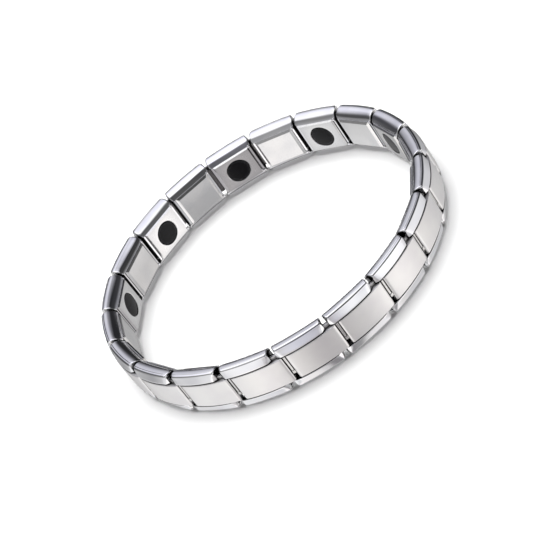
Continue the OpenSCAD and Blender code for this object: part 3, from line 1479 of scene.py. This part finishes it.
@dataclass
class Studio:
    """Pale table, soft light from all round and the camera.

    Args:
        elevation: how far the camera looks down, in degrees.
        distance: from the camera to what it looks at.
        roll: turn of the camera about its own axis, in degrees.
        lens: focal length on a sensor of the usual width.
        target: what the camera looks at.
        full: the brightness that a world colour of 1 stands for.
        table: half the size of the table top, in metres.
        finish: the table's finish.
        low_light: brightness round the table's soft box.
        top_light: brightness of that soft box.
        top_lean: how far the soft box leans to the back.
        top_edge: where the soft box begins and where it is full.
        walls: the light that the steel mirrors, in order of azimuth.
    """

    elevation: float = 33.56
    distance: float = 312.83
    roll: float = 36.58
    lens: float = 119.32
    target: Colour = (-1.899, 1.698, 0.09)
    full: float = 4.5
    table: float = 3.0
    finish: Finish = Finish("pale_table", (0.93, 0.93, 0.93), (0.93, 0.93, 0.93), 0.9)
    low_light: float = 0.05
    top_light: float = 5.8
    top_lean: float = 0.25
    top_edge: Point = (0.82, 0.97)
    walls: tuple[Wall, ...] = WALLS

    def build_table(self) -> None:
        """Makes the table top, which the steel doesn't mirror."""
        maker = bmesh.new()
        bmesh.ops.create_grid(maker, x_segments=4, y_segments=4, size=self.table)
        mesh = bpy.data.meshes.new("table_top")
        maker.to_mesh(mesh)
        maker.free()
        mesh.materials.append(self.finish.build())
        table = new_object("table_top", mesh)
        table.visible_glossy = False
        table.visible_shadow = False

    def grey(self, level: float) -> Colour:
        """A brightness as a world colour."""
        return (level / self.full,) * 3

    def build_light(self) -> None:
        """Makes the surrounding light, one pattern for gloss and a soft box from above for the table."""
        world = bpy.data.worlds.new("studio")
        world.use_nodes = True
        world.cycles.sampling_method = "NONE"
        bpy.context.scene.world = world
        board = NodeBoard(world.node_tree)
        away = board.add("ShaderNodeTexCoord").outputs["Generated"]
        x, y, z = board.add("ShaderNodeSeparateXYZ", {0: away}).outputs
        azimuth = board.math("DEGREES", board.math("ARCTAN2", y, x))
        height = board.math("MULTIPLY_ADD", board.math("ARCSINE", z), 1 / math.pi, 0.5)
        ramps = [board.ramp(height, wall.colours(self.full)) for wall in self.walls]
        light = board.mix(board.ease(azimuth, -180, self.walls[0].azimuth), ramps[-1], ramps[0])
        for before, wall, shade in zip(self.walls, self.walls[1:], ramps[1:]):
            light = board.mix(board.ease(azimuth, before.azimuth, wall.azimuth), light, shade)
        path = board.add("ShaderNodeLightPath").outputs
        leaning = board.math("MULTIPLY_ADD", y, self.top_lean, z)
        low, top = self.grey(self.low_light), self.grey(self.top_light)
        soft_box = board.mix(board.ease(leaning, *self.top_edge), low, top)
        light = board.mix(path["Is Diffuse Ray"], light, soft_box)
        light = board.mix(path["Is Camera Ray"], light, self.grey(1.0))
        board.feed(world.node_tree.nodes["Background"], {"Color": light, "Strength": self.full})

    def build_camera(self) -> None:
        """Sets up the camera at the photograph's viewing angle."""
        data = bpy.data.cameras.new("camera")
        data.sensor_width = 36.0
        data.lens = self.lens
        data.clip_start = 0.01
        data.clip_end = 10.0
        camera = new_object("camera", data)
        up_angle, roll = math.radians(self.elevation), math.radians(self.roll)
        back = Vector((0, -math.cos(up_angle), math.sin(up_angle)))
        right, up = Vector((1, 0, 0)), Vector((0, math.sin(up_angle), math.cos(up_angle)))
        camera_right = math.cos(roll) * right - math.sin(roll) * up
        camera_up = math.cos(roll) * up + math.sin(roll) * right
        turn = Matrix((camera_right, camera_up, back)).transposed().to_4x4()
        place = (Vector(self.target) + back * self.distance) * MM
        camera.matrix_world = Matrix.Translation(place) @ turn
        bpy.context.scene.camera = camera

    def build(self) -> None:
        """Builds the table, the light and the camera."""
        view = bpy.context.scene.view_settings
        view.view_transform = "Standard"
        view.look = "None"
        self.build_table()
        self.build_light()
        self.build_camera()


def main() -> None:
    """Builds the bracelet piece by piece, then the studio."""
    logging.basicConfig(level=logging.INFO, format="%(message)s")
    shells = [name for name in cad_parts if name.startswith("link_shell_")]
    loop = Loop(link_count=len(shells), half_width=cad_box[1][2] / 2 / MM)
    row = LoopRow(loop)
    for assembly in (LinkShells, FacePlates, InnerPlates, Magnets, Connectors):
        assembly(loop, row).dress()
        LOG.info("%s done", assembly.__name__)
    Studio().build()
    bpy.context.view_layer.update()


if __name__ == "__main__":
    main()
